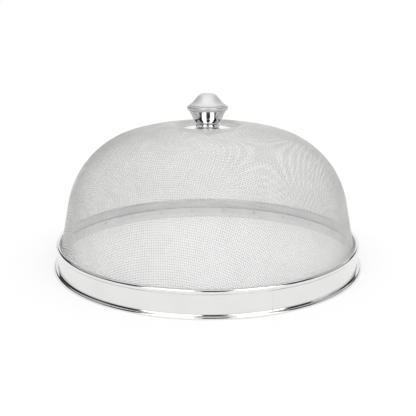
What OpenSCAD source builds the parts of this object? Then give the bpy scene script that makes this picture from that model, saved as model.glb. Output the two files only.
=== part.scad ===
// Food cover: a woven wire dome on a polished steel rim, with a hollow screwed-on knob.
// The origin is the middle of the circle that the rim stands on, with +Z up.

/* [Rim] */
// Radius of the rim over its curled bottom edge
rim_r = 160; // [130:1:220]
// Height of the rim to the top of its rolled lip
rim_h = 25.4; // [20.5:0.1:45]
// Thickness of the sheet that the rim is rolled from
sheet_t = 0.5; // [0.3:0.1:0.9]
// How far the bottom curl stands out from the band's outer face
flange_w = 4.6; // [3.2:0.1:8]
// Outer radius of the bottom curl
curl_r = 2.4; // [1.4:0.1:3]
// Straight drop of the curl's edge, which the cover stands on
edge_h = 0.3; // [0.2:0.1:1.5]
// Outer radius of the rolled lip
lip_r = 2.6; // [1.8:0.1:3.4]
// How far the lip stands out past the band's outer face
lip_proud = 1.2; // [0.6:0.1:1.6]
// Width of the slit where the lip's roll ends
lip_slit = 0.6; // [0.3:0.1:1]

/* [Clamp hoop] */
// Height of the strip that clamps the mesh skirt
hoop_h = 7; // [4:0.5:9]
// Thickness of that strip
hoop_t = 0.6; // [0.4:0.1:1.2]
// Drop from the underside of the lip to the top of the strip
hoop_drop = 6.7; // [5.5:0.1:8.5]

/* [Mesh dome] */
// Thickness of the woven mesh, two wires deep
mesh_t = 0.8; // [0.5:0.1:1.2]
// Height of the dome's crown, without its recess, above the rim
dome_h = 118.6; // [95:0.1:140]
// Lean of the dome's straight side from upright, in degrees
side_lean = 11.3; // [8:0.1:14]
// Radius of the dome's shoulder
shoulder_r = 90; // [70:1:110]
// Radius of the dome's crown
crown_r = 310; // [250:1:420]
// Gap between the rim's lip and the mesh
lip_gap = 0.9; // [0.4:0.1:2]
// Slope of the mesh where it spreads out under the lip, in degrees from upright
spread_angle = 50; // [40:1:60]
// Radius of the two bends of that spread
spread_r = 2; // [1.2:0.1:2.4]
// Height of the mesh skirt above the strip that clamps it
skirt_over = 0.5; // [0.3:0.1:1]
// Openings round the dome, wide ones that stand for the fine mesh
open_columns = 24; // [16:1:24]
// Rows of openings up the dome's shoulder
shoulder_rows = 3; // [2:1:4]
// Share of the dome that the bars between the openings take, each way
bar_share = 0.22; // [0.15:0.01:0.4]

/* [Recess for the knob] */
// Depth of the recess below the top of the crown
recess_depth = 7.6; // [6.2:0.1:10]
// Radius of the rounding along the edge of the recess
ridge_r = 6; // [4:0.1:7.5]
// Slope of the wall of the recess, in degrees from level
wall_angle = 55; // [45:1:65]
// Radius of the bend at the foot of that wall
wall_foot_r = 2.5; // [1.5:0.1:3.2]
// Room round the bright plate on the floor of the recess
plate_gap = 1; // [0.5:0.1:3]

/* [Knob plates] */
// Radius of the bright domed plate under the knob
plate_r = 25.4; // [18:0.1:32]
// Height of that plate from the mesh to the knob
plate_h = 5.5; // [4:0.1:8]
// Thickness of the sheet that it is pressed from
plate_t = 0.8; // [0.5:0.1:1.2]
// Height of its upright edge
plate_edge_h = 0.6; // [0.3:0.1:0.8]
// How far its side bulges out from a straight cone
plate_bulge = 0.5; // [0.2:0.05:1]
// Radius of the plate on the inside of the mesh
under_r = 22; // [12:0.5:24]
// Thickness of the plate on the inside
under_t = 1; // [0.6:0.1:2]

/* [Knob] */
// Wall of the knob's shells
shell_t = 0.8; // [0.5:0.1:1.2]
// Radius of the knob's waist, where it stands on the plate
waist_r = 11.4; // [9:0.1:14]
// Radius of the knob's cup at its bead
cup_r = 18.4; // [16:0.1:23]
// Height of the side of the knob's cup
cup_h = 14.2; // [10:0.1:18]
// How far the cup's side bulges out from a straight cone
cup_bulge = 0.45; // [0.2:0.05:1]
// Radius of the round of the knob's bead
bead_r = 2.5; // [1.8:0.1:3.2]
// How far the bead stands out past the cup's side
bead_proud = 2.3; // [1.5:0.1:2.8]
// Height of the knob's cap above the bead
cap_h = 12.2; // [8:0.1:18]
// Radius of the cap's flat top
cap_flat_r = 5; // [3:0.1:8]
// Radius of the rounding round the cap's flat top
cap_round_r = 3; // [1.5:0.1:4]
// Depth of the cap's spigot in the mouth of the cup
spigot_h = 3.5; // [2:0.1:4.5]
// Width of the turned-in edges where the cup stands on the plate
web_w = 3; // [2:0.1:4]
// Thickness of the disc that closes the bottom of the cup
base_t = 1; // [0.6:0.1:2]

/* [Screw] */
// Radius of the screw's shank
screw_r = 2.5; // [2:0.05:3]
// Length of the shank under the head
screw_l = 21; // [18:0.5:24]
// Radius of the screw's pan head
head_r = 4.75; // [4:0.05:6]
// Height of the pan head
head_h = 3.3; // [2.7:0.1:5]
// Radius of the rounding of the pan head
head_round_r = 2.2; // [1.5:0.1:2.6]
// Length of each arm of the cross cut in the head
cross_l = 2.4; // [1.8:0.1:3]
// Width of the cross cut in the head
cross_w = 1.1; // [0.8:0.1:1.5]
// Depth of the cross cut in the head
cross_depth = 1.7; // [1:0.1:2.2]
// Outer radius of the spring washer
washer_r = 4.5; // [3.7:0.05:6]
// Thickness of the spring washer
washer_t = 1.2; // [0.8:0.1:2]
// Width of the slit in the spring washer
washer_slit = 0.7; // [0.4:0.1:1.2]
// Radius of the threaded boss in the knob
boss_r = 5.5; // [4.2:0.1:7]
// Height of the threaded boss in the knob
boss_h = 12; // [10.5:0.1:15]

/* [Hidden] */
$fn = 180;

// Room for a running thread, for holes round the shank, and between pressed sheets
thread_gap = 0.05;
hole_gap = 0.3;
sheet_gap = 0.02;
// Overrun of cuts past the faces that they open
overrun = 1;
// Segments along a bend of sheet or bar, and along the mesh's folds, shoulder and crown
bend_steps = 8;
fold_steps = 4;
shoulder_steps = 12;
crown_steps = 3;

// The band between its curl and its lip
band_r = rim_r - flange_w;
band_in_r = band_r - sheet_t;
ledge_r = rim_r - curl_r;
crease_z = edge_h + curl_r;
lip_c = [band_r + lip_proud - lip_r, rim_h - lip_r];
lip_wall_r = lip_r - sheet_t / 2;
band_top_z = lip_c[1] - sqrt(pow(lip_wall_r, 2) - pow(band_r - sheet_t / 2 - lip_c[0], 2));
slit_angle = 285;

// The skirt of the mesh between the band and the hoop
hoop_top_z = lip_c[1] - lip_r - hoop_drop;
hoop_z = hoop_top_z - hoop_h;
skirt_r = band_in_r - sheet_gap - mesh_t / 2;
skirt_top_z = hoop_top_z + skirt_over;
hoop_r = skirt_r - mesh_t / 2 - sheet_gap;

// The crown is an arc about crown_c. A rounding of another radius runs along a line and ends on that arc:
// its centre starts at a point, counted from crown_c, and moves this far along the line.
crown_z = rim_h + dome_h;
crown_c = [0, crown_z - crown_r];
function run_to_crown(start, dir, r) =
    sqrt(pow(start * dir, 2) - start * start + pow(crown_r - r, 2)) - start * dir;

// The dome's middle surface: a leaning side, then a shoulder arc
side_foot = [lip_c[0] - lip_r - lip_gap - mesh_t / 2, lip_c[1]];
side_dir = [-sin(side_lean), cos(side_lean)];
side_normal = [cos(side_lean), sin(side_lean)];
shoulder_start = side_foot - shoulder_r * side_normal - crown_c;
shoulder_c = crown_c + shoulder_start + run_to_crown(shoulder_start, side_dir, shoulder_r) * side_dir;
shoulder_angle = atan2(shoulder_c[1] - crown_c[1], shoulder_c[0]);

// The spread of the mesh from the dome's side out to the skirt
spread_normal = [cos(spread_angle), sin(spread_angle)];
spread_dir = [-sin(spread_angle), cos(spread_angle)];
spread_low_c = [skirt_r - spread_r, skirt_top_z];
spread_start = spread_low_c + 2 * spread_r * spread_normal;
spread_off = (spread_start - side_foot) * side_normal - spread_r;
spread_high_c = spread_start - spread_off / (spread_dir * side_normal) * spread_dir;
side_low = spread_high_c - spread_r * side_normal;
side_high = shoulder_c + shoulder_r * side_normal;

// The recess in the crown, from its floor up its wall to its rounded edge
seat_z = crown_z - recess_depth;
wall_normal = [-sin(wall_angle), cos(wall_angle)];
wall_dir = [cos(wall_angle), sin(wall_angle)];
wall_foot_c = [plate_r + plate_gap, seat_z + wall_foot_r];
ridge_start = wall_foot_c - (wall_foot_r + ridge_r) * wall_normal - crown_c;
ridge_c = crown_c + ridge_start + run_to_crown(ridge_start, wall_dir, ridge_r) * wall_dir;
ridge_angle = atan2(ridge_c[1] - crown_c[1], ridge_c[0]);

// The stack on the screw, from its head up
hole_r = screw_r + hole_gap;
plate_z = seat_z + mesh_t / 2;
under_z = seat_z - mesh_t / 2 - under_t;
washer_z = under_z - washer_t;
cup_z = plate_z + plate_h;
base_z = cup_z + shell_t;
boss_z = base_z + base_t;

// The knob's waist: turned-in edges on the plate and the cup, and a disc that lies in the cup
web_r = waist_r - web_w;
base_r = waist_r - shell_t - sheet_gap;

// The domed plate: a side that bulges on an arc, from its upright edge up to the knob's waist
plate_chord = [waist_r - plate_r, plate_h - plate_edge_h];
plate_lean = atan2(-plate_chord[0], plate_chord[1]);
plate_side_r = (plate_chord * plate_chord / 4 + pow(plate_bulge, 2)) / (2 * plate_bulge);
plate_half_angle = asin(norm(plate_chord) / 2 / plate_side_r);
plate_side_c = [plate_r, plate_z + plate_edge_h] + plate_chord / 2
    - (plate_side_r - plate_bulge) * [cos(plate_lean), sin(plate_lean)];
function plate_in_angle(z) = asin((z - plate_side_c[1]) / (plate_side_r - plate_t));

// The knob's cup: a side that bulges on an arc, and a bead round its mouth
cup_chord = [cup_r - waist_r, cup_h];
cup_tilt = atan2(cup_chord[0], cup_chord[1]);
cup_side_r = (cup_chord * cup_chord / 4 + pow(cup_bulge, 2)) / (2 * cup_bulge);
cup_half_angle = asin(norm(cup_chord) / 2 / cup_side_r);
cup_side_c = [waist_r, cup_z] + cup_chord / 2 + (cup_side_r - cup_bulge) * [-cos(cup_tilt), sin(cup_tilt)];
mouth_r = cup_r - shell_t;
bead_c = [cup_r + bead_proud - bead_r, cup_z + cup_h - shell_t + bead_r];

// The knob's cap: a spigot in the mouth of the cup, a cone that stands on the bead, and a flat top
spigot_r = mouth_r - sheet_gap;
cap_z = bead_c[1] + bead_r + sheet_gap;
cap_edge = [bead_c[0], cap_z + shell_t];
cap_round_c = [cap_flat_r, bead_c[1] + bead_r + cap_h - cap_round_r];
cap_reach = cap_round_c - cap_edge;
cone_angle = atan2(cap_reach[1], cap_reach[0]) - acos(-cap_round_r / norm(cap_reach));
cone_normal = [cos(cone_angle), sin(cone_angle)];
cone_in = cap_edge - shell_t * cone_normal;
spigot_in_r = spigot_r - shell_t;
spigot_top_z = cone_in[1] + (cone_in[0] - spigot_in_r) * cone_normal[0] / cone_normal[1];

function reverse(list) = [for (i = [len(list) - 1:-1:0]) list[i]];

// Points on an arc that bulges along its normals, and on one that is hollow along them
function bulge_arc(c, r, from, to, steps) =
    [for (i = [0:steps]) let (a = from + (to - from) * i / steps) c + r * [cos(a), sin(a)]];
function hollow_arc(c, r, from, to, steps) =
    [for (i = [0:steps]) let (a = from + (to - from) * i / steps) c - r * [cos(a), sin(a)]];

// The dome's line at a distance out from its middle surface, from the skirt to the screw's hole
function dome_line(out) = concat(
    [[skirt_r + out, hoop_z]],
    bulge_arc(spread_low_c, spread_r + out, 0, spread_angle, fold_steps),
    hollow_arc(spread_high_c, spread_r - out, spread_angle, side_lean, fold_steps),
    bulge_arc(shoulder_c, shoulder_r + out, side_lean, shoulder_angle, shoulder_steps),
    bulge_arc(crown_c, crown_r + out, shoulder_angle, ridge_angle, crown_steps),
    bulge_arc(ridge_c, ridge_r + out, ridge_angle, 90 + wall_angle, fold_steps),
    hollow_arc(wall_foot_c, wall_foot_r - out, 90 + wall_angle, 90, fold_steps),
    [[hole_r, seat_z + out]]);

// The cup's line at a distance in from its outer face, from the waist up to the bead
function cup_line(inset) = bulge_arc(cup_side_c, cup_side_r - inset,
    -cup_tilt - cup_half_angle, -cup_tilt + cup_half_angle, bend_steps);

// A flat ring that stands at a height
module ring(z, h, r_out, r_in) {
    translate([0, 0, z]) difference() {
        cylinder(h = h, r = r_out);
        translate([0, 0, -overrun]) cylinder(h = h + 2 * overrun, r = r_in);
    }
}

// The curl in section, filled, at a depth under its outer face: a ledge, a quarter roll and a straight edge
module curl_section(inset, start_r, start_z) {
    roll_r = curl_r - inset;
    translate([start_r, start_z]) square([ledge_r - start_r, edge_h + roll_r - start_z]);
    translate([ledge_r, start_z]) square([roll_r, edge_h - start_z]);
    translate([ledge_r, edge_h]) intersection() {
        circle(roll_r);
        square(curl_r);
    }
}

// The rolled lip in section, which ends in a slit beside the band
module lip_section() {
    translate(lip_c) difference() {
        circle(lip_r);
        circle(lip_r - sheet_t);
        rotate(slit_angle) translate([0, -lip_slit / 2]) square([lip_r + overrun, lip_slit]);
    }
}

module rim_band() {
    color("gainsboro") rotate_extrude() {
        difference() {
            curl_section(0, band_in_r, 0);
            curl_section(sheet_t, band_in_r - overrun, -overrun);
        }
        translate([band_in_r, crease_z - sheet_t]) square([sheet_t, band_top_z - crease_z + sheet_t]);
        lip_section();
    }
}

module clamp_hoop() {
    color("silver") ring(hoop_z, hoop_h, hoop_r, hoop_r - hoop_t);
}

// A strip along a straight line, and a wedge across an arc from one angle to another
module strip(from, to, half_t) {
    along = (to - from) / norm(to - from);
    out = half_t * [along[1], -along[0]];
    polygon([from + out, to + out, to - out, from - out]);
}

module wedge(r, from, to) {
    near = r - overrun;
    far = (r + overrun) / cos((to - from) / 2);
    polygon([
        near * [cos(from), sin(from)],
        far * [cos(from), sin(from)],
        far * [cos(to), sin(to)],
        near * [cos(to), sin(to)]]);
}

// One column of openings in section: on the side, up the shoulder and on the crown
module opening_section() {
    margin_share = bar_share / 2;
    side_margin = margin_share * (side_high - side_low);
    row_angle = (shoulder_angle - side_lean) / shoulder_rows;
    crown_margin = margin_share * (ridge_angle - shoulder_angle);
    strip(side_low + side_margin, side_high - side_margin, overrun);
    for (row = [0:shoulder_rows - 1])
        translate(shoulder_c) wedge(shoulder_r,
            side_lean + (row + margin_share) * row_angle,
            side_lean + (row + 1 - margin_share) * row_angle);
    translate(crown_c) wedge(crown_r, shoulder_angle + crown_margin, ridge_angle - crown_margin);
}

module mesh_dome() {
    column_angle = 360 / open_columns;
    color("lightgray") difference() {
        rotate_extrude()
            polygon(concat(dome_line(mesh_t / 2), reverse(dome_line(-mesh_t / 2))));
        for (column = [0:open_columns - 1])
            rotate(column * column_angle) rotate_extrude(angle = (1 - bar_share) * column_angle)
                opening_section();
    }
}

module top_plate() {
    color("whitesmoke") rotate_extrude() polygon(concat(
        [[plate_r, plate_z]],
        bulge_arc(plate_side_c, plate_side_r,
            plate_lean - plate_half_angle, plate_lean + plate_half_angle, bend_steps),
        [[web_r, cup_z], [web_r, cup_z - plate_t]],
        bulge_arc(plate_side_c, plate_side_r - plate_t,
            plate_in_angle(cup_z - plate_t), plate_in_angle(plate_z), bend_steps)));
}

module under_plate() {
    color("silver") ring(under_z, under_t, under_r, hole_r);
}

module knob_cup() {
    color("gainsboro") rotate_extrude() {
        polygon(concat(
            [[web_r, cup_z]],
            cup_line(0),
            reverse(cup_line(shell_t)),
            [[waist_r - shell_t, base_z], [web_r, base_z]]));
        intersection() {
            translate(bead_c) circle(bead_r);
            translate([mouth_r, bead_c[1] - bead_r]) square(2 * bead_r);
        }
    }
}

module knob_base() {
    color("silver") ring(base_z, base_t, base_r, hole_r);
}

module knob_insert() {
    color("silver") ring(boss_z, boss_h, boss_r, screw_r + thread_gap);
}

module knob_cap() {
    color("lightgray") rotate_extrude() polygon(concat(
        [[spigot_in_r, cap_z - spigot_h], [spigot_r, cap_z - spigot_h], [spigot_r, cap_z]],
        [[cap_edge[0], cap_z], cap_edge],
        bulge_arc(cap_round_c, cap_round_r, cone_angle, 90, bend_steps),
        [[0, cap_round_c[1] + cap_round_r], [0, cap_round_c[1] + cap_round_r - shell_t]],
        bulge_arc(cap_round_c, cap_round_r - shell_t, 90, cone_angle, bend_steps),
        [[spigot_in_r, spigot_top_z]]));
}

module spring_washer() {
    color("gray") difference() {
        ring(washer_z, washer_t, washer_r, hole_r);
        translate([0, -washer_slit / 2, washer_z - overrun])
            cube([washer_r + overrun, washer_slit, washer_t + 2 * overrun]);
    }
}

module fixing_screw() {
    head_c = [head_r - head_round_r, washer_z - head_h + head_round_r];
    color("silver") difference() {
        rotate_extrude() polygon(concat(
            [[0, washer_z - head_h]],
            bulge_arc(head_c, head_round_r, -90, 0, bend_steps),
            [[head_r, washer_z], [screw_r, washer_z]],
            [[screw_r, washer_z + screw_l], [0, washer_z + screw_l]]));
        for (turn = [0, 90])
            rotate(turn) translate([-cross_l, -cross_w / 2, washer_z - head_h - overrun])
                cube([2 * cross_l, cross_w, cross_depth + overrun]);
    }
}

rim_band();
clamp_hoop();
mesh_dome();
top_plate();
under_plate();
knob_cup();
knob_base();
knob_insert();
knob_cap();
spring_washer();
fixing_screw();
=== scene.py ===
import math
import bmesh
import bpy
import numpy as np
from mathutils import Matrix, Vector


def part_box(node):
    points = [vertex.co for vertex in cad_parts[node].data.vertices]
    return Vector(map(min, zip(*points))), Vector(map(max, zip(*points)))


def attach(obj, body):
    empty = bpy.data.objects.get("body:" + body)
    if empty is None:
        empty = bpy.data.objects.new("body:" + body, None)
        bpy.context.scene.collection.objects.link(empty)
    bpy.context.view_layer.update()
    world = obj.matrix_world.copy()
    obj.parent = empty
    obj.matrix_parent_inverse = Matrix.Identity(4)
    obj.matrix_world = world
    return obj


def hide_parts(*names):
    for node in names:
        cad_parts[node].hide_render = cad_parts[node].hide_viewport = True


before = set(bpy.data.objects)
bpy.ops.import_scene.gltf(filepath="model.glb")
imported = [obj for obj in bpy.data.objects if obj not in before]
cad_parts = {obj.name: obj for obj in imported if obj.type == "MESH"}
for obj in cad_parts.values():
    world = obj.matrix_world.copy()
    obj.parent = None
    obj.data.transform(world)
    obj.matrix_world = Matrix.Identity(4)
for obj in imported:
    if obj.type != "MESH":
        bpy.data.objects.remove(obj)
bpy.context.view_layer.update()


# Rim: a band rolled from stainless sheet and polished bright, with its ends butt welded. Its foot is
# curled out into a ledge with a rolled edge to stand on, and its top flares into a rolled lip round
# the mesh, tucked back against the band.
rim_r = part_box("rim_band")[1].x
rim_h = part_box("rim_band")[1].z
sheet = 0.0005
flange = 0.0046
curl_r = 0.0024
curl_edge = 0.0003
crease_r = 0.0003
lip_r = 0.0026
lip_proud = 0.0012
lip_bend_r = 0.0012
lip_end_angle = 286
curl_steps = 12
bend_steps = 6
lip_steps = 44
rim_steps = 360
seam_heading = 21
seam_width = 0.0007
seam_core_share = 0.3
seam_ragged_scale = 900
seam_ragged_detail = 2
rim_tone = (0.82, 0.82, 0.815, 1)
rim_dull_tone = (0.74, 0.735, 0.73, 1)
rim_roughness = 0.05
rim_line_strength = 0.15


def polar(angle):
    """The unit vector at an angle in degrees."""
    return np.array([math.cos(math.radians(angle)), math.sin(math.radians(angle))])


def arc(centre, radius, start, end, steps):
    """Points (radius, height) on an arc, between two angles in degrees."""
    return [np.array(centre) + radius * polar(angle) for angle in np.linspace(start, end, steps + 1)]


def shifted(line, by):
    """A line of points moved sideways, to the right of its run."""
    line = np.array(line)
    along = np.gradient(line, axis=0)
    along /= np.linalg.norm(along, axis=1)[:, None]
    return line + by * np.column_stack([along[:, 1], -along[:, 0]])


def sheet_outline(line, thickness):
    """The closed outline of a sheet whose middle follows a line of points."""
    return np.concatenate([shifted(line, thickness / 2), shifted(line, -thickness / 2)[::-1]])


def piece(name, points, faces, crease=40, merge_gap=1e-7):
    """A closed mesh with its normals outwards, smooth but for edges sharper than the crease angle."""
    mesh = bpy.data.meshes.new(name)
    mesh.from_pydata(points, [], faces)
    shape = bmesh.new()
    shape.from_mesh(mesh)
    bmesh.ops.remove_doubles(shape, verts=shape.verts, dist=merge_gap)
    bmesh.ops.recalc_face_normals(shape, faces=shape.faces)
    shape.to_mesh(mesh)
    shape.free()
    mesh.polygons.foreach_set("use_smooth", [True] * len(mesh.polygons))
    mesh.set_sharp_from_angle(angle=math.radians(crease))
    made = bpy.data.objects.new(name, mesh)
    bpy.context.collection.objects.link(made)
    return made


def lathe_points(outline, steps):
    """The points of an outline turned about the axis, one copy of the outline after another."""
    turns = np.linspace(0, 2 * math.pi, steps, endpoint=False)
    outline = np.array(outline)
    x = np.outer(np.cos(turns), outline[:, 0])
    y = np.outer(np.sin(turns), outline[:, 0])
    z = np.tile(outline[:, 1], (steps, 1))
    return np.stack([x, y, z], axis=-1)


def lathe_faces(steps, count):
    """Faces between the turned copies of a closed outline of that many points."""
    copy, point = np.meshgrid(np.arange(steps), np.arange(count), indexing="ij")
    next_copy = (copy + 1) % steps
    next_point = (point + 1) % count
    corners = [copy * count + point, next_copy * count + point,
               next_copy * count + next_point, copy * count + next_point]
    return np.stack(corners, axis=-1).reshape(-1, 4).tolist()


def lathe(name, outline, steps):
    """A body of revolution from a closed outline of (radius, height) points."""
    points = lathe_points(outline, steps)
    return piece(name, points.reshape(-1, 3).tolist(), lathe_faces(steps, len(outline)))


class Shade:
    """A value in a material. Sums and products of values add Math nodes to it."""

    def __init__(self, tree, socket=None):
        self.tree = tree
        self.socket = socket

    def node(self, kind, settings, inputs, output=0):
        """Adds a node: its settings first, then a value or a link for each of its sockets."""
        made = self.tree.nodes.new(kind)
        for name, value in settings.items():
            setattr(made, name, value)
        for name, value in inputs.items():
            if isinstance(value, Shade):
                self.tree.links.new(value.socket, made.inputs[name])
            else:
                made.inputs[name].default_value = value
        return Shade(self.tree, made.outputs[output] if made.outputs else None)

    def maths(self, operation, *values):
        """A Math node on some values."""
        return self.node("ShaderNodeMath", {"operation": operation}, dict(enumerate(values)))

    def __add__(self, other):
        return self.maths("ADD", self, other)

    def __radd__(self, other):
        return self.maths("ADD", other, self)

    def __sub__(self, other):
        return self.maths("SUBTRACT", self, other)

    def __rsub__(self, other):
        return self.maths("SUBTRACT", other, self)

    def __mul__(self, other):
        return self.maths("MULTIPLY", self, other)

    def __rmul__(self, other):
        return self.maths("MULTIPLY", other, self)

    def __pow__(self, other):
        return self.maths("POWER", self, other)

    def axis(self, letter):
        """The X, Y or Z of a place."""
        return self.node("ShaderNodeSeparateXYZ", {}, {"Vector": self}, letter)

    def noise(self, scale, detail):
        """Noise between 0 and 1 over a place."""
        inputs = {"Vector": self, "Scale": scale, "Detail": detail}
        return self.node("ShaderNodeTexNoise", {}, inputs, "Fac")

    def step(self, low, high):
        """0 below low, 1 above high, and a smooth rise between them."""
        return self.node("ShaderNodeMapRange", {"interpolation_type": "SMOOTHSTEP"},
                         {"Value": self, "From Min": low, "From Max": high})

    def tint(self, first, second):
        """The first colour at 0, the second at 1, and their mix between."""
        return self.node("ShaderNodeMix", {"data_type": "RGBA"}, {0: self, 6: first, 7: second}, 2)


def new_material(name):
    """An empty material, and the start of its values."""
    material = bpy.data.materials.new(name)
    material.use_nodes = True
    material.node_tree.nodes.clear()
    return material, Shade(material.node_tree)


def new_metal(name):
    """An empty material, and the place on the object that its values follow."""
    material, start = new_material(name)
    return material, start.node("ShaderNodeTexCoord", {}, {}, "Object")


def metal_surface(place, colour, roughness, bump, metallic=1):
    """The shader of a metal, with a bump given by the strength, distance and height of its relief."""
    surface = place.node("ShaderNodeBsdfPrincipled", {}, {
        "Base Color": colour, "Metallic": metallic, "Roughness": roughness,
        "Normal": place.node("ShaderNodeBump", {}, bump)})
    surface.node("ShaderNodeOutputMaterial", {}, {"Surface": surface})


def span(first, second):
    """The length of two values at right angles."""
    return (first * first + second * second) ** 0.5


def heading_of(place):
    """The angle round the axis from the front, in radians, positive to the right."""
    return place.maths("ARCTAN2", place.axis("X"), 0 - place.axis("Y"))


def steel(name, tone, dull_tone, roughness, line_strength, marks=None):
    """Stainless steel with fine lines round the axis from the polishing wheel, faint smears, and
    marks, given as a function of the place, that dull it."""
    scale_along, scale_across, across_rise, line_detail = 60, 5200, 1.7, 2
    line_height, line_wear, line_dull = 0.00001, 0.25, 0.05
    smear_scale, smear_detail, smear_wear, smear_dull = 28, 5, 0.35, 0.10
    smear_low, smear_high = 0.35, 0.75
    mark_wear, mark_dull = 0.6, 0.3
    material, place = new_metal(name)
    x, y = place.axis("X"), place.axis("Y")
    across = span(x, y) + place.axis("Z") * across_rise
    run = {"X": x * scale_along, "Y": y * scale_along, "Z": across * scale_across}
    lines = place.node("ShaderNodeCombineXYZ", {}, run).noise(1, line_detail)
    smears = place.noise(smear_scale, smear_detail).step(smear_low, smear_high)
    wear = smears * smear_wear + lines * line_wear
    dullness = roughness + smears * smear_dull + lines * line_dull
    relief = lines
    if marks:
        mark = marks(place)
        wear = wear + mark * mark_wear
        dullness = dullness + mark * mark_dull
        relief = lines - mark
    bump = {"Strength": line_strength, "Distance": line_height, "Height": relief}
    metal_surface(place, wear.tint(tone, dull_tone), dullness, bump)
    return material


def seam_mark(place):
    """The ground-down weld where the band's ends meet."""
    off = (heading_of(place) - math.radians(seam_heading)) * rim_r
    ragged = off + (place.noise(seam_ragged_scale, seam_ragged_detail) - 0.5) * seam_width
    return 1 - ragged.maths("ABSOLUTE", ragged).step(seam_width * seam_core_share, seam_width)


band_r = rim_r - flange
band_in_r = band_r - sheet
band_mid_r = band_r - sheet / 2
ledge_z = curl_edge + curl_r - sheet / 2
lip_c = np.array([band_r + lip_proud - lip_r, rim_h - lip_r])
lip_mid_r = lip_r - sheet / 2
bend_over = band_mid_r + lip_bend_r - lip_c[0]
bend_drop = math.sqrt((lip_mid_r + lip_bend_r) ** 2 - bend_over ** 2)
bend_c = np.array([band_mid_r + lip_bend_r, lip_c[1] - bend_drop])
bend_angle = math.degrees(math.atan2(*(lip_c - bend_c)[::-1]))
rim_line = [np.array([rim_r - sheet / 2, 0])]
rim_line += arc((rim_r - curl_r, curl_edge), curl_r - sheet / 2, 0, 90, curl_steps)
rim_line += arc((band_mid_r + crease_r, ledge_z + crease_r), crease_r, 270, 180, bend_steps)
rim_line += arc(bend_c, lip_bend_r, 180, bend_angle, bend_steps)
rim_line += arc(lip_c, lip_mid_r, bend_angle - 180, lip_end_angle, lip_steps)[1:]
rim = lathe("rim_band_rolled", sheet_outline(rim_line, sheet), rim_steps)
rim_material = steel("polished_rim", rim_tone, rim_dull_tone, rim_roughness, rim_line_strength, seam_mark)
rim.data.materials.append(rim_material)
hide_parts("rim_band")
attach(rim, "cover")


# Mesh dome: plain-woven steel wire pressed to a dome, with a recess at its crown for the knob. Its edge
# spreads out under the rim's lip into an upright skirt, where the wires are cut level with the strip that
# clamps them. Below the rim's top the wires are painted lighter: painted light against the shade there.
pitch = 0.0022
wire = 0.0004
wire_sides = 6
weave_turn = -13
pieces_each_way = 6
last_ring_share = 0.2
mesh_t = 0.0008
wall_gap = 0.00002
dome_h = 0.1186
side_lean = 11.3
shoulder_r = 0.09
crown_r = 0.31
lip_gap = 0.0009
spread_angle = 50
spread_r = 0.002
hoop_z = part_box("clamp_hoop")[0].z
hoop_top_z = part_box("clamp_hoop")[1].z
skirt_over = 0.0005
recess_depth = 0.0076
ridge_r = 0.012
wall_angle = 45
wall_foot_r = 0.0025
plate_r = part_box("top_plate")[1].x
plate_gap = 0.001
hole_r = 0.0028
foot_steps = 12
ridge_steps = 20
crown_steps = 40
shoulder_steps = 60
spread_steps = 8
wire_tone = (0.745, 0.745, 0.735, 1)
wire_dull_tone = (0.645, 0.645, 0.64, 1)
# painted light: a lighter wire colour below the rim's top, to offset the shade under the lip
painted_light_tone = (0.92, 0.91, 0.92, 1)
painted_light_rise = 0.003

crown_z = rim_h + dome_h
crown_c = np.array([0, crown_z - crown_r])
skirt_r = band_in_r - wall_gap - mesh_t / 2
seat_z = crown_z - recess_depth


def run_to_crown(start, heading, radius):
    """How far a rounding's centre moves from a start, along a heading, until it ends on the crown."""
    start = start - crown_c
    along = start @ heading
    return math.sqrt(along ** 2 - start @ start + (crown_r - radius) ** 2) - along


def angle_on_crown(centre):
    """The angle at which a rounding about that centre meets the crown."""
    return math.degrees(math.atan2(centre[1] - crown_c[1], centre[0]))


def bend(centre, radius, start, end, steps):
    """Rows of a point on the dome's line and its normal, along an arc. A negative radius makes a hollow."""
    normals = arc((0, 0), 1, start, end, steps)
    return [np.concatenate([centre + radius * normal, normal]) for normal in normals]


side_foot = np.array([lip_c[0] - lip_r - lip_gap - mesh_t / 2, lip_c[1]])
side_up = polar(90 + side_lean)
shoulder_start = side_foot - shoulder_r * polar(side_lean)
shoulder_c = shoulder_start + run_to_crown(shoulder_start, side_up, shoulder_r) * side_up
wall_foot_c = np.array([plate_r + plate_gap, seat_z + wall_foot_r])
ridge_start = wall_foot_c - (wall_foot_r + ridge_r) * polar(90 + wall_angle)
ridge_c = ridge_start + run_to_crown(ridge_start, polar(wall_angle), ridge_r) * polar(wall_angle)
spread_low_c = np.array([skirt_r - spread_r, hoop_top_z + skirt_over])
spread_start = spread_low_c + 2 * spread_r * polar(spread_angle)
spread_off = (spread_start - side_foot) @ polar(side_lean) - spread_r
spread_up = polar(90 + spread_angle)
spread_high_c = spread_start - spread_off / (spread_up @ polar(side_lean)) * spread_up

dome_line = [np.array([hole_r, seat_z, 0, 1])]
dome_line += bend(wall_foot_c, -wall_foot_r, 90, 90 + wall_angle, foot_steps)
dome_line += bend(ridge_c, ridge_r, 90 + wall_angle, angle_on_crown(ridge_c), ridge_steps)
dome_line += bend(crown_c, crown_r, angle_on_crown(ridge_c), angle_on_crown(shoulder_c), crown_steps)
dome_line += bend(shoulder_c, shoulder_r, angle_on_crown(shoulder_c), side_lean, shoulder_steps)
dome_line += bend(spread_high_c, -spread_r, side_lean, spread_angle, spread_steps)
dome_line += bend(spread_low_c, spread_r, spread_angle, 0, spread_steps)
dome_line += [np.array([skirt_r, hoop_z, 1, 0])]
dome_line = np.array(dome_line)
dome_steps = np.linalg.norm(np.diff(dome_line[:, :2], axis=0), axis=1)
dome_run = hole_r + np.concatenate([[0], np.cumsum(dome_steps)])
sheet_r = dome_run[-1]


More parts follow.
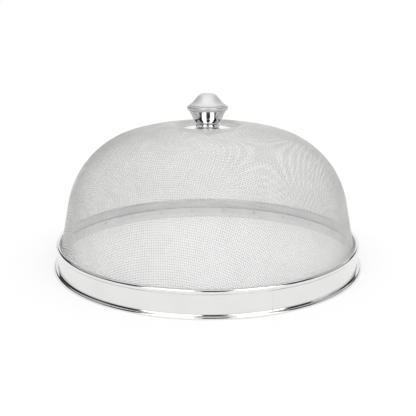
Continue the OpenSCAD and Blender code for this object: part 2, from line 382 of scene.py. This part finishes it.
def on_dome(along, across, lift):
    """Places and normals on the dome of points of the flat weave, raised by a lift from its middle."""
    reach = np.hypot(along, across)
    turn = np.arctan2(across, along) + math.radians(weave_turn)
    r, z, out, up = (np.interp(reach, dome_run, column) for column in dome_line.T)
    normal = np.stack([out * np.cos(turn), out * np.sin(turn), up], axis=-1)
    middle = np.stack([r * np.cos(turn), r * np.sin(turn), z], axis=-1)
    return middle + normal * lift[:, None], normal


def wire_runs(across):
    """Stretches of one wire of the weave, as places along it: cut at the skirt's edge and at the hole."""
    end = math.sqrt(sheet_r ** 2 - across ** 2)
    last = math.floor(end / pitch * 2 - last_ring_share)
    along = np.concatenate([[-end], np.arange(-last, last + 1) * pitch / 2, [end]])
    if abs(across) > hole_r:
        return [along]
    start = math.sqrt(hole_r ** 2 - across ** 2)
    return [np.append(along[along < -start], -start), np.insert(along[along > start], 0, start)]


def wire_tube(along, across, lift, swap):
    """Points of a wire: rings of a round section along its run."""
    first, second = (across, along) if swap else (along, across)
    centre, normal = on_dome(first, second, lift)
    ahead = np.gradient(centre, axis=0)
    aside = np.cross(ahead, normal)
    aside /= np.linalg.norm(aside, axis=1)[:, None]
    above = np.cross(aside, ahead)
    above /= np.linalg.norm(above, axis=1)[:, None]
    turns = np.arange(wire_sides) * 2 * math.pi / wire_sides
    section = np.cos(turns)[None, :, None] * above[:, None] + np.sin(turns)[None, :, None] * aside[:, None]
    return (centre[:, None] + section * wire / 2).reshape(-1, 3)


def wire_faces(rings):
    """Faces of a tube of that many rings, with two faces to close each six-sided end."""
    ring, side = np.meshgrid(np.arange(rings - 1), np.arange(wire_sides), indexing="ij")
    next_side = (side + 1) % wire_sides
    corners = [ring * wire_sides + side, ring * wire_sides + next_side,
               (ring + 1) * wire_sides + next_side, (ring + 1) * wire_sides + side]
    walls = np.stack(corners, axis=-1).reshape(-1, 4)
    ends = np.array([[3, 2, 1, 0], [5, 4, 3, 0]])
    far = (rings - 1) * wire_sides + ends[:, ::-1]
    return np.concatenate([walls, ends, far])


def wire_chart(along, row, rows):
    """A place in the unit square for each corner of a wire's faces: its row, and how far along it."""
    half_run, wall_low_share, wall_share = 0.49, 0.1, 0.75
    end_low_share, end_high_share, end_width = 0.88, 0.95, 0.001
    u = 0.5 + along / sheet_r * half_run
    ring, side = np.meshgrid(np.arange(len(along) - 1), np.arange(wire_sides), indexing="ij")
    low = (row + wall_low_share + wall_share * side / wire_sides) / rows
    high = (row + wall_low_share + wall_share * (side + 1) / wire_sides) / rows
    walls = np.stack([u[ring], low, u[ring], high, u[ring + 1], high, u[ring + 1], low], axis=-1)
    end_u = np.array([0, end_width, end_width, 0])
    end_v = (row + np.array([end_low_share, end_low_share, end_high_share, end_high_share])) / rows
    end_places = (u[0], u[0] + 2 * end_width, u[-1] - 3 * end_width, u[-1] - end_width)
    ends = [np.column_stack([place + end_u, end_v]) for place in end_places]
    return np.concatenate([walls.reshape(-1, 2)] + ends)


def woven_strands(name, group, swap):
    """One piece of the weave: the wires of some rows of the warp or, swapped, of the weft."""
    points, faces, chart = [], [], []
    count = 0
    for place_in_group, row in enumerate(group):
        across = (row + 0.5) * pitch
        over = (1 if row % 2 else -1) * (1 if swap else -1)
        for along in wire_runs(across):
            lift = over * (mesh_t - wire) / 2 * np.sin(math.pi * along / pitch)
            points.append(wire_tube(along, np.full(len(along), across), lift, swap))
            faces.append(wire_faces(len(along)) + count)
            chart.append(wire_chart(along, place_in_group, len(group)))
            count += len(points[-1])
    mesh = bpy.data.meshes.new(name)
    mesh.from_pydata(np.concatenate(points).tolist(), [], np.concatenate(faces).tolist(), shade_flat=False)
    mesh.uv_layers.new(name="OFBake").data.foreach_set("uv", np.concatenate(chart).ravel())
    made = bpy.data.objects.new(name, mesh)
    bpy.context.collection.objects.link(made)
    return made


def drawn_wire():
    """Drawn steel wire: soft gloss, with patches that are duller and fine lines along the wire. Below the
    rim's top it is painted lighter: painted light that offsets the shade under the lip."""
    patch_scale, patch_detail, patch_low, patch_high = 55, 4, 0.3, 0.7
    line_scale, line_detail, line_strength, line_height = 2600, 3, 0.2, 0.00002
    patch_wear, line_wear = 0.6, 0.4
    gloss, patch_dull, line_dull = 0.26, 0.08, 0.06
    metallic = 0.7
    material, place = new_metal("drawn_wire")
    patches = place.noise(patch_scale, patch_detail).step(patch_low, patch_high)
    lines = place.noise(line_scale, line_detail)
    drawn = (patches * patch_wear + lines * line_wear).tint(wire_tone, wire_dull_tone)
    # painted light: 1 below the rim's top, where the wires are painted lighter against the shade under the
    # lip
    painted_light = 1 - place.axis("Z").step(rim_h - painted_light_rise, rim_h)
    roughness = gloss + patches * patch_dull + lines * line_dull
    bump = {"Strength": line_strength, "Distance": line_height, "Height": lines}
    metal_surface(place, painted_light.tint(drawn, painted_light_tone), roughness, bump, metallic)
    return material


wire_material = drawn_wire()
wires_each_side = math.floor(sheet_r / pitch + 0.5)
rows = np.arange(-wires_each_side, wires_each_side)
for weave, swap in (("mesh_warp", False), ("mesh_weft", True)):
    for number, group in enumerate(np.array_split(rows, pieces_each_way), 1):
        strands = woven_strands(f"{weave}_{number}", group, swap)
        strands.data.materials.append(wire_material)
        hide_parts("mesh_dome")
        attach(strands, "cover")


# Clamp hoop: a flat strip of satin steel bent to a hoop inside the rim. It presses the mesh skirt
# against the band and is spot welded through it, which leaves a row of round dimples.
hoop_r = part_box("clamp_hoop")[1].x
hoop_t = 0.0006
hoop_edge_r = 0.00015
edge_steps = 4
welds = 24
columns_a_weld = 30
weld_r = 0.0021
weld_depth = 0.00007
weld_tint_start_share = 0.6
weld_tint_end_share = 1.5
inner_face_depth = 0.000015
hoop_rows = 20
hoop_tone = (0.78, 0.77, 0.78, 1)
hoop_dull_tone = (0.68, 0.665, 0.66, 1)
hoop_roughness = 0.25
satin_line_strength = 0.5


def ring_outline(inner, outer, low, high, edge):
    """The outline of a flat ring with rounded edges."""
    outline = arc((outer - edge, low + edge), edge, -90, 0, edge_steps)
    outline += arc((outer - edge, high - edge), edge, 0, 90, edge_steps)
    outline += arc((inner + edge, high - edge), edge, 90, 180, edge_steps)
    outline += arc((inner + edge, low + edge), edge, 180, 270, edge_steps)
    return outline


def weld_marks(place):
    """The heat tint on and round the spot welds."""
    part = heading_of(place) * (welds / (2 * math.pi))
    around = (part.maths("FRACT", part + 1) - 0.5) * (2 * math.pi * hoop_r / welds)
    height = place.axis("Z") - weld_z
    return 1 - span(around, height).step(weld_r * weld_tint_start_share, weld_r * weld_tint_end_share)


weld_z = (hoop_z + hoop_top_z) / 2
hoop_in_r = hoop_r - hoop_t
hoop_outline = ring_outline(hoop_in_r, hoop_r, hoop_z, hoop_top_z, hoop_edge_r)
inner_heights = np.linspace(hoop_top_z - hoop_edge_r, hoop_z + hoop_edge_r, hoop_rows + 1)[1:-1]
inner_start = 3 * (edge_steps + 1)
hoop_outline[inner_start:inner_start] = [np.array([hoop_in_r, z]) for z in inner_heights]
hoop_steps = welds * columns_a_weld
hoop_points = lathe_points(hoop_outline, hoop_steps)
for turn in (np.arange(welds) + 0.5) * 2 * math.pi / welds - math.pi / 2:
    centre = np.array([math.cos(turn) * hoop_in_r, math.sin(turn) * hoop_in_r, weld_z])
    off = np.linalg.norm(hoop_points - centre, axis=-1) / weld_r
    inside = np.hypot(hoop_points[..., 0], hoop_points[..., 1]) < hoop_in_r + inner_face_depth
    dent = np.where(inside, np.clip(1 - off ** 2, 0, 1) ** 2, 0) * weld_depth / hoop_in_r
    hoop_points[..., :2] *= 1 + dent[..., None]
hoop_faces = lathe_faces(hoop_steps, len(hoop_outline))
hoop = piece("clamp_hoop_welded", hoop_points.reshape(-1, 3).tolist(), hoop_faces)
hoop_material = steel("satin_hoop", hoop_tone, hoop_dull_tone, hoop_roughness, satin_line_strength,
                      weld_marks)
hoop.data.materials.append(hoop_material)
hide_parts("clamp_hoop")
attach(hoop, "cover")


# Plates: two steel pressings that spread the knob's clamping over the mesh. The upper one, polished like
# a mirror, is a low cone with a turned-down edge and a collar that the knob stands on. The lower one,
# inside, is a flat disc left satin.
plate_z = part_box("top_plate")[0].z
plate_top_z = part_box("top_plate")[1].z
plate_t = 0.0008
plate_edge_h = 0.0014
plate_edge_r = 0.00025
plate_rise = 0.0021
collar_r = 0.0124
collar_bend_r = 0.0006
collar_top_r = 0.0008
collar_normal = 30
collar_steps = 8
waist_r = 0.0114
web_r = 0.0084
under_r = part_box("under_plate")[1].x
under_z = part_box("under_plate")[0].z
under_top_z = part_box("under_plate")[1].z
under_edge_r = 0.0003
turned_steps = 192
plate_tone = (0.90, 0.90, 0.895, 1)
plate_dull_tone = (0.83, 0.83, 0.82, 1)
plate_roughness = 0.04
plate_line_strength = 0.1
under_roughness = 0.24

plate_edge = np.array([plate_r, plate_z + plate_edge_h])
plate_lean = math.degrees(math.atan2(plate_rise, plate_r - collar_r))
collar_c_r = collar_r + collar_bend_r
cone_z = plate_edge[1] + (plate_r - collar_c_r) * math.tan(math.radians(plate_lean))
collar_c = (collar_c_r, cone_z + collar_bend_r / polar(plate_lean)[0])
collar_top_c = (waist_r - collar_top_r, plate_top_z - collar_top_r)
plate_side = [plate_edge] + arc(collar_c, -collar_bend_r, 90 - plate_lean, collar_normal, collar_steps)
plate_side += arc(collar_top_c, collar_top_r, collar_normal, 90, collar_steps)
plate_under = shifted(plate_side, -plate_t)
plate_outline = [np.array([plate_r, plate_z]), np.array([plate_r, plate_edge[1] - plate_edge_r])]
plate_outline += plate_side[1:]
plate_outline += [np.array([web_r, plate_top_z]), np.array([web_r, plate_top_z - plate_t])]
plate_outline += list(plate_under[:0:-1])
plate_outline += [np.array([plate_r - plate_t, plate_under[0][1]]), np.array([plate_r - plate_t, plate_z])]
top_plate = lathe("top_plate_pressed", plate_outline, turned_steps)
plate_material = steel("polished_plate", plate_tone, plate_dull_tone, plate_roughness, plate_line_strength)
top_plate.data.materials.append(plate_material)
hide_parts("top_plate")
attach(top_plate, "cover")
under_outline = ring_outline(hole_r, under_r, under_z, under_top_z, under_edge_r)
under_plate = lathe("under_plate_pressed", under_outline, turned_steps)
under_material = steel("satin_plate", hoop_tone, hoop_dull_tone, under_roughness, satin_line_strength)
under_plate.data.materials.append(under_material)
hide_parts("under_plate")
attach(under_plate, "cover")


# Knob cup: a bowl spun from thin polished steel, turned in at the bottom and flaring up to a rolled bead
# round its mouth. It stands on the upper plate, which mirrors it.
cup_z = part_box("knob_cup")[0].z
shell = 0.0008
cup_r = 0.0184
cup_h = 0.0142
cup_corner_r = 0.0011
cup_corner_c_r = 0.01002
bowl_r = 0.0138
bowl_lean = 52
neck_lean = 21
flare_r = 0.0357
flare_lean = 34
bead_r = 0.0025
bead_proud = 0.0023
bead_foot_angle = -78
corner_steps = 6
bowl_steps = 14
flare_steps = 8
bead_steps = 30
knob_tone = (0.70, 0.695, 0.71, 1)
knob_dull_tone = (0.62, 0.615, 0.63, 1)
knob_roughness = 0.05
knob_line_strength = 0.12

bead_c = np.array([cup_r + bead_proud - bead_r, cup_z + cup_h - shell + bead_r])
mouth_r = cup_r - shell
mouth_angle = math.degrees(math.acos((mouth_r - bead_c[0]) / bead_r))
cup_corner_c = (cup_corner_c_r, cup_z + cup_corner_r)
cup_side = arc(cup_corner_c, cup_corner_r, -90, -bowl_lean, corner_steps)
bowl_c = cup_side[-1] - bowl_r * polar(-bowl_lean)
cup_side += arc(bowl_c, bowl_r, -bowl_lean, -neck_lean, bowl_steps)[1:]
flare_c = cup_side[-1] + flare_r * polar(-neck_lean)
cup_side += arc(flare_c, -flare_r, -neck_lean, -flare_lean, flare_steps)[1:]
cup_outline = [np.array([web_r, cup_z])] + cup_side
cup_outline += arc(bead_c, bead_r, bead_foot_angle, mouth_angle, bead_steps)
cup_outline += list(shifted(cup_side, -shell)[:0:-1])
cup_outline += [np.array([web_r, cup_z + shell])]


def bead_mark(place):
    """The bead, which is left satin."""
    return place.axis("Z").step(bead_c[1] - bead_r, bead_c[1] - bead_r / 2)


cup = lathe("knob_cup_spun", cup_outline, turned_steps)
cup_material = steel("polished_knob", knob_tone, knob_dull_tone, knob_roughness, knob_line_strength,
                     bead_mark)
cup.data.materials.append(cup_material)
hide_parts("knob_cup")
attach(cup, "knob")


# Knob base and boss: a steel disc in the bottom of the cup and, welded on it, a turned boss with an M5
# thread in its bore, which the screw draws down. Both are hidden in the knob.
base_tone = (0.66, 0.66, 0.65, 1)
base_dull_tone = (0.50, 0.49, 0.48, 1)
base_roughness = 0.28
base_line_strength = 0.9

turned_material = steel("turned_steel", base_tone, base_dull_tone, base_roughness, base_line_strength)
for name in ("knob_base", "knob_insert"):
    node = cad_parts[name]
    node.data.materials.clear()
    node.data.materials.append(turned_material)


# Knob cap: a low cone spun from steel and blasted to a soft satin, flared at its brim and rounded off at
# the top. Its spigot is pressed into the cup's mouth and its brim sits on the bead.
cap_top_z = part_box("knob_cap")[1].z
brim_edge_r = 0.00045
brim_normal = 58
cap_flare_r = 0.0187
cone_normal = 40.5
cap_round_r = 0.0094
spigot_h = 0.0035
brim_steps = 8
cap_round_steps = 14
cap_tone = (0.80, 0.80, 0.80, 1)
cap_dull_tone = (0.70, 0.70, 0.70, 1)

spigot_r = mouth_r - wall_gap
spigot_in_r = spigot_r - shell
cap_z = bead_c[1] + bead_r + wall_gap
brim_c = np.array([bead_c[0] - brim_edge_r, cap_z + brim_edge_r])
cap_side = arc(brim_c, brim_edge_r, -90, brim_normal, brim_steps)
cap_flare_c = cap_side[-1] + cap_flare_r * polar(brim_normal)
cap_flare = arc(cap_flare_c, -cap_flare_r, brim_normal, cone_normal, brim_steps)
cone_end_z = cap_top_z - cap_round_r * (1 - polar(cone_normal)[1])
cone_l = (cone_end_z - cap_flare[-1][1]) / polar(cone_normal)[0]
cone_end = cap_flare[-1] + cone_l * polar(cone_normal + 90)
cap_round_c = cone_end - cap_round_r * polar(cone_normal)
cap_shoulder = cap_flare[1:] + arc(cap_round_c, cap_round_r, cone_normal, 90, cap_round_steps)
cap_inside = [point for point in shifted(cap_shoulder, -shell)[::-1] if point[0] < spigot_in_r]
cap_outline = [np.array([spigot_in_r, cap_z - spigot_h]), np.array([spigot_r, cap_z - spigot_h])]
cap_outline += [np.array([spigot_r, cap_z])] + cap_side + cap_shoulder
cap_outline += [np.array([0, cap_top_z]), np.array([0, cap_top_z - shell])] + cap_inside
cap_outline += [np.array([spigot_in_r, cap_inside[-1][1]])]


def blasted_steel():
    """Satin steel, blasted with beads: an even fine grain, with faint smears from hands."""
    grain_scale, grain_detail, grain_strength, grain_height = 2200, 2, 0.25, 0.00004
    smear_scale, smear_detail, smear_low, smear_high = 90, 4, 0.35, 0.75
    smear_wear, grain_wear = 0.5, 0.3
    satin, smear_dull, grain_dull = 0.42, 0.08, 0.06
    material, place = new_metal("blasted_cap")
    grain = place.noise(grain_scale, grain_detail)
    smears = place.noise(smear_scale, smear_detail).step(smear_low, smear_high)
    colour = (smears * smear_wear + grain * grain_wear).tint(cap_tone, cap_dull_tone)
    roughness = satin + smears * smear_dull + grain * grain_dull
    metal_surface(place, colour, roughness,
                  {"Strength": grain_strength, "Distance": grain_height, "Height": grain})
    return material


cap = lathe("knob_cap_spun", cap_outline, turned_steps)
cap.data.materials.append(blasted_steel())
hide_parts("knob_cap")
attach(cap, "knob")


# Spring washer: a turn of rectangular steel wire, zinc plated, cut through and sprung a little, between
# the screw's head and the lower plate.
washer_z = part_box("spring_washer")[0].z
washer_top_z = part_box("spring_washer")[1].z
washer_r = 0.0045
washer_in_r = 0.0028
washer_slit = 0.0007
washer_edge_r = 0.00015
washer_spring = 0.0001
washer_steps = 96
zinc_tone = (0.70, 0.715, 0.73, 1)
zinc_dull_tone = (0.50, 0.52, 0.54, 1)


def zinc_plate():
    """Zinc plating: bluish, with a fine crystal mottle and duller patches."""
    mottle_scale, mottle_detail, mottle_strength, mottle_height = 1500, 3, 0.3, 0.00003
    patch_scale, patch_detail, patch_low, patch_high = 320, 3, 0.35, 0.7
    patch_wear, mottle_wear = 0.5, 0.4
    gloss, patch_dull, mottle_dull = 0.24, 0.12, 0.08
    material, place = new_metal("zinc_plate")
    mottle = place.noise(mottle_scale, mottle_detail)
    patches = place.noise(patch_scale, patch_detail).step(patch_low, patch_high)
    colour = (patches * patch_wear + mottle * mottle_wear).tint(zinc_tone, zinc_dull_tone)
    roughness = gloss + patches * patch_dull + mottle * mottle_dull
    metal_surface(place, colour, roughness,
                  {"Strength": mottle_strength, "Distance": mottle_height, "Height": mottle})
    return material


zinc_material = zinc_plate()
section = ring_outline(washer_in_r, washer_r, washer_z, washer_top_z - washer_spring, washer_edge_r)
section_r, section_z = np.array(section).T
half_slit = math.asin(washer_slit / 2 / washer_in_r)
turns = np.linspace(half_slit, 2 * math.pi - half_slit, washer_steps)
washer_rise = np.linspace(0, washer_spring, washer_steps)
washer_points = np.stack([np.outer(np.cos(turns), section_r), np.outer(np.sin(turns), section_r),
                          section_z + washer_rise[:, None]], axis=-1)
count = len(section)
last_copy = (washer_steps - 1) * count
washer_faces = lathe_faces(washer_steps, count)[:last_copy]
washer_faces.append(list(range(count)))
washer_faces.append(list(range(last_copy, last_copy + count))[::-1])
washer = piece("spring_washer_split", washer_points.reshape(-1, 3).tolist(), washer_faces)
washer.data.materials.append(zinc_material)
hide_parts("spring_washer")
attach(washer, "cover")


# Fixing screw: an M5 pan-head screw with a cross recess, headed and thread-rolled from steel wire and
# zinc plated. It comes up from inside the dome and clamps the plates, the mesh and the knob together.
screw_r = 0.0025
screw_top_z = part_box("fixing_screw")[1].z
head_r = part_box("fixing_screw")[1].x
head_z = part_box("fixing_screw")[0].z
head_round_r = 0.0022
head_steps = 10
thread_pitch = 0.0008
thread_depth = 0.00045
thread_start = 0.001
thread_steepness = 1.5
tip_chamfer = 0.0006
rings_a_pitch = 8
screw_steps = 64
cross_l = 0.0024
cross_w = 0.0011
cross_depth = 0.0017
cross_taper = 0.55
cross_flare = 1.4

head_round_c = np.array([head_r - head_round_r, head_z + head_round_r])
screw_line = [np.array([0, head_z])] + arc(head_round_c, head_round_r, -90, 0, head_steps)
screw_line += [np.array([head_r, washer_z - washer_edge_r])]
screw_line += [np.array([head_r - washer_edge_r, washer_z]), np.array([screw_r, washer_z])]
thread_z = np.arange(washer_z + thread_start, screw_top_z, thread_pitch / rings_a_pitch)
screw_line += [np.array([screw_r, z]) for z in thread_z]
screw_line += [np.array([screw_r - tip_chamfer, screw_top_z]), np.array([0, screw_top_z])]
screw_points = lathe_points(screw_line, screw_steps)
around = np.linspace(0, 1, screw_steps, endpoint=False)[:, None]
height = screw_points[..., 2]
tooth = np.abs(2 * np.mod((height - washer_z) / thread_pitch - around, 1) - 1)
tooth = np.clip(0.5 + (tooth - 0.5) * thread_steepness, 0, 1)
fade = np.clip((height - washer_z - thread_start) / thread_pitch, 0, 1)
shank_r = screw_r - thread_depth * (1 - tooth) * fade
shank_r = np.minimum(shank_r, screw_r - tip_chamfer + (screw_top_z - height))
on_shank = (height >= thread_z[0]) & (height <= thread_z[-1])
screw_points[..., :2] *= np.where(on_shank, shank_r / screw_r, 1)[..., None]
line_count = len(screw_line)
closing = line_count - 1
screw_faces = [face for face in lathe_faces(screw_steps, line_count) if face[0] % line_count != closing]
screw = piece("fixing_screw_threaded", screw_points.reshape(-1, 3).tolist(), screw_faces)


def cross_corners(turned):
    """Corners of a wedge that cuts one arm of the cross: wide below the head and narrow in its depth."""
    corners = []
    for z, scale in ((head_z - cross_depth, cross_flare), (head_z + cross_depth, cross_taper)):
        length, half = cross_l * scale, cross_w / 2 * scale
        for along, aside in ((-length, -half), (length, -half), (length, half), (-length, half)):
            corners.append((aside, along, z) if turned else (along, aside, z))
    return corners


wedge_sides = [(0, 1, 2, 3), (4, 5, 6, 7), (0, 1, 5, 4), (1, 2, 6, 5), (2, 3, 7, 6), (3, 0, 4, 7)]
for turned in (False, True):
    cutter = piece("cross_cutter", cross_corners(turned), wedge_sides)
    cut = screw.modifiers.new("cross", "BOOLEAN")
    cut.object = cutter
    cut.solver = "EXACT"
    carved = bpy.data.meshes.new_from_object(screw.evaluated_get(bpy.context.evaluated_depsgraph_get()))
    screw.modifiers.clear()
    screw.data = carved
    bpy.data.objects.remove(cutter)
screw.data.materials.clear()
screw.data.materials.append(zinc_material)
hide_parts("fixing_screw")
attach(screw, "screw")


# Studio: a pale floor that runs into a white background, two broad soft lamps in front, and the dark and
# dim stretches of the room between and beside them, which show only in the polished steel.
view_height = 15.03
view_far = 0.7
view_target_z = 0.05403
image_px = 416
focal_px = 670.9
axis_px = 207.56
sensor = 36
floor_size = 8
floor_drop = 0.00005
fill = 0.8
white = (1, 1, 1, 1)
paper_tone = (0.8, 0.8, 0.8, 1)
shadow_share = (0.4, 0.4, 0.4, 1)
glow_near = (0.575, 0.575, 0.575, 1)
glow_far = (0.685, 0.685, 0.685, 1)
glow_front = 0.25
glow_start = 0.1
glow_end = 0.9
lamp_far = 1.4
lamp_height = 46
lamp_width = 1.1
lamp_length = 0.86
lamp_power = 4.2
lamp_headings = {"lamp_left": -27, "lamp_right": 38}
room_far = 1.2
gap_tone = (0.012, 0.012, 0.012, 1)
side_tone = (0.55, 0.55, 0.555, 1)

scene = bpy.context.scene
scene.view_settings.view_transform = "Standard"
camera = bpy.data.objects.new("camera", bpy.data.cameras.new("camera"))
bpy.context.collection.objects.link(camera)
camera.data.sensor_width = sensor
camera.data.lens = sensor * focal_px / image_px
camera.data.shift_x = 0.5 - axis_px / image_px
camera.location = (0, -view_far * polar(view_height)[0], view_target_z + view_far * polar(view_height)[1])
camera.rotation_euler = (math.radians(90 - view_height), 0, 0)
scene.camera = camera


def seen(start):
    """1 for rays that show a surface: from the camera, in gloss and through glass."""
    rays = ("Is Camera Ray", "Is Glossy Ray", "Is Transmission Ray")
    direct, gloss, through = [start.node("ShaderNodeLightPath", {}, {}, ray) for ray in rays]
    return start.maths("MAXIMUM", start.maths("MAXIMUM", direct, gloss), through)


world = bpy.data.worlds.new("studio")
scene.world = world
world.use_nodes = True
world.node_tree.nodes.clear()
sky = Shade(world.node_tree)
sky_light = sky.node("ShaderNodeBackground", {}, {"Color": white, "Strength": fill})
sky_shown = sky.node("ShaderNodeBackground", {}, {"Color": white, "Strength": 1})
backdrop = sky.node("ShaderNodeMixShader", {}, {0: seen(sky), 1: sky_light, 2: sky_shown})
sky.node("ShaderNodeOutputWorld", {}, {"Surface": backdrop})

floor_material, ground = new_material("pale_floor")
paper = ground.node("ShaderNodeBsdfDiffuse", {}, {"Color": paper_tone})
shadow = ground.node("ShaderNodeBsdfDiffuse", {}, {"Color": shadow_share})
ground_place = ground.node("ShaderNodeTexCoord", {}, {}, "Object")
from_front = span(ground_place.axis("X"), ground_place.axis("Y") + glow_front)
glow_tone = from_front.step(glow_start, glow_end).tint(glow_near, glow_far)
glow = ground.node("ShaderNodeEmission", {}, {"Color": glow_tone, "Strength": 1})
floor_shown = ground.node("ShaderNodeAddShader", {}, {0: shadow, 1: glow})
floor_surface = ground.node("ShaderNodeMixShader", {}, {0: seen(ground), 1: paper, 2: floor_shown})
ground.node("ShaderNodeOutputMaterial", {}, {"Surface": floor_surface})


def stage_sheet(name, points, faces, material):
    """A plain surface of the studio, which isn't part of the object."""
    mesh = bpy.data.meshes.new(name)
    mesh.from_pydata(points, [], faces)
    mesh.materials.append(material)
    made = bpy.data.objects.new(name, mesh)
    bpy.context.collection.objects.link(made)
    return made


half = floor_size / 2
floor_corners = [(x * half, y * half, -floor_drop) for x, y in ((-1, -1), (1, -1), (1, 1), (-1, 1))]
floor = stage_sheet("floor", floor_corners, [(0, 1, 2, 3)], floor_material)


def toward(heading, height, far):
    """The point that far from the cover at a height and a heading, in degrees to the camera's right."""
    level, up = polar(height)
    aside, ahead = polar(heading - 90)
    return np.array([aside, ahead, 0]) * level * far + np.array([0, 0, up * far + view_target_z])


def lamp(name, heading):
    """A broad soft lamp that looks at the cover."""
    made = bpy.data.objects.new(name, bpy.data.lights.new(name, "AREA"))
    made.data.shape = "RECTANGLE"
    made.data.size = lamp_width
    made.data.size_y = lamp_length
    made.data.energy = lamp_power
    made.location = toward(heading, lamp_height, lamp_far)
    made.rotation_euler = (math.radians(90 - lamp_height), 0, math.radians(heading))
    bpy.context.collection.objects.link(made)


def room_gap(name, start, end, low, high, columns, tone):
    """A stretch of the room between two headings and two heights, which only gloss shows."""
    headings = np.linspace(start, end, columns + 1)
    points = [toward(heading, height, room_far).tolist() for heading in headings for height in (low, high)]
    faces = [(2 * i, 2 * i + 2, 2 * i + 3, 2 * i + 1) for i in range(columns)]
    material, wall = new_material(name)
    wall_light = wall.node("ShaderNodeEmission", {}, {"Color": tone, "Strength": 1})
    wall.node("ShaderNodeOutputMaterial", {}, {"Surface": wall_light})
    made = stage_sheet(name, points, faces, material)
    made.visible_camera = False
    made.visible_diffuse = False
    made.visible_transmission = False
    made.visible_volume_scatter = False
    made.visible_shadow = False


for name, heading in lamp_headings.items():
    lamp(name, heading)
room_gap("gap_middle_low", start=-4, end=14, low=16, high=34, columns=4, tone=gap_tone)
room_gap("gap_middle", start=-12, end=24, low=34, high=60, columns=6, tone=gap_tone)
room_gap("gap_left_low", start=-155, end=-48, low=15, high=28, columns=20, tone=gap_tone)
room_gap("gap_left", start=-82, end=-48, low=28, high=58, columns=6, tone=gap_tone)
room_gap("gap_right_low", start=57, end=80, low=15, high=28, columns=6, tone=gap_tone)
room_gap("gap_right_far", start=80, end=152, low=15, high=24, columns=12, tone=gap_tone)
room_gap("gap_right", start=57, end=92, low=28, high=58, columns=6, tone=gap_tone)
room_gap("side_right", start=92, end=150, low=28, high=50, columns=12, tone=side_tone)
room_gap("side_left", start=-150, end=-82, low=28, high=50, columns=14, tone=side_tone)
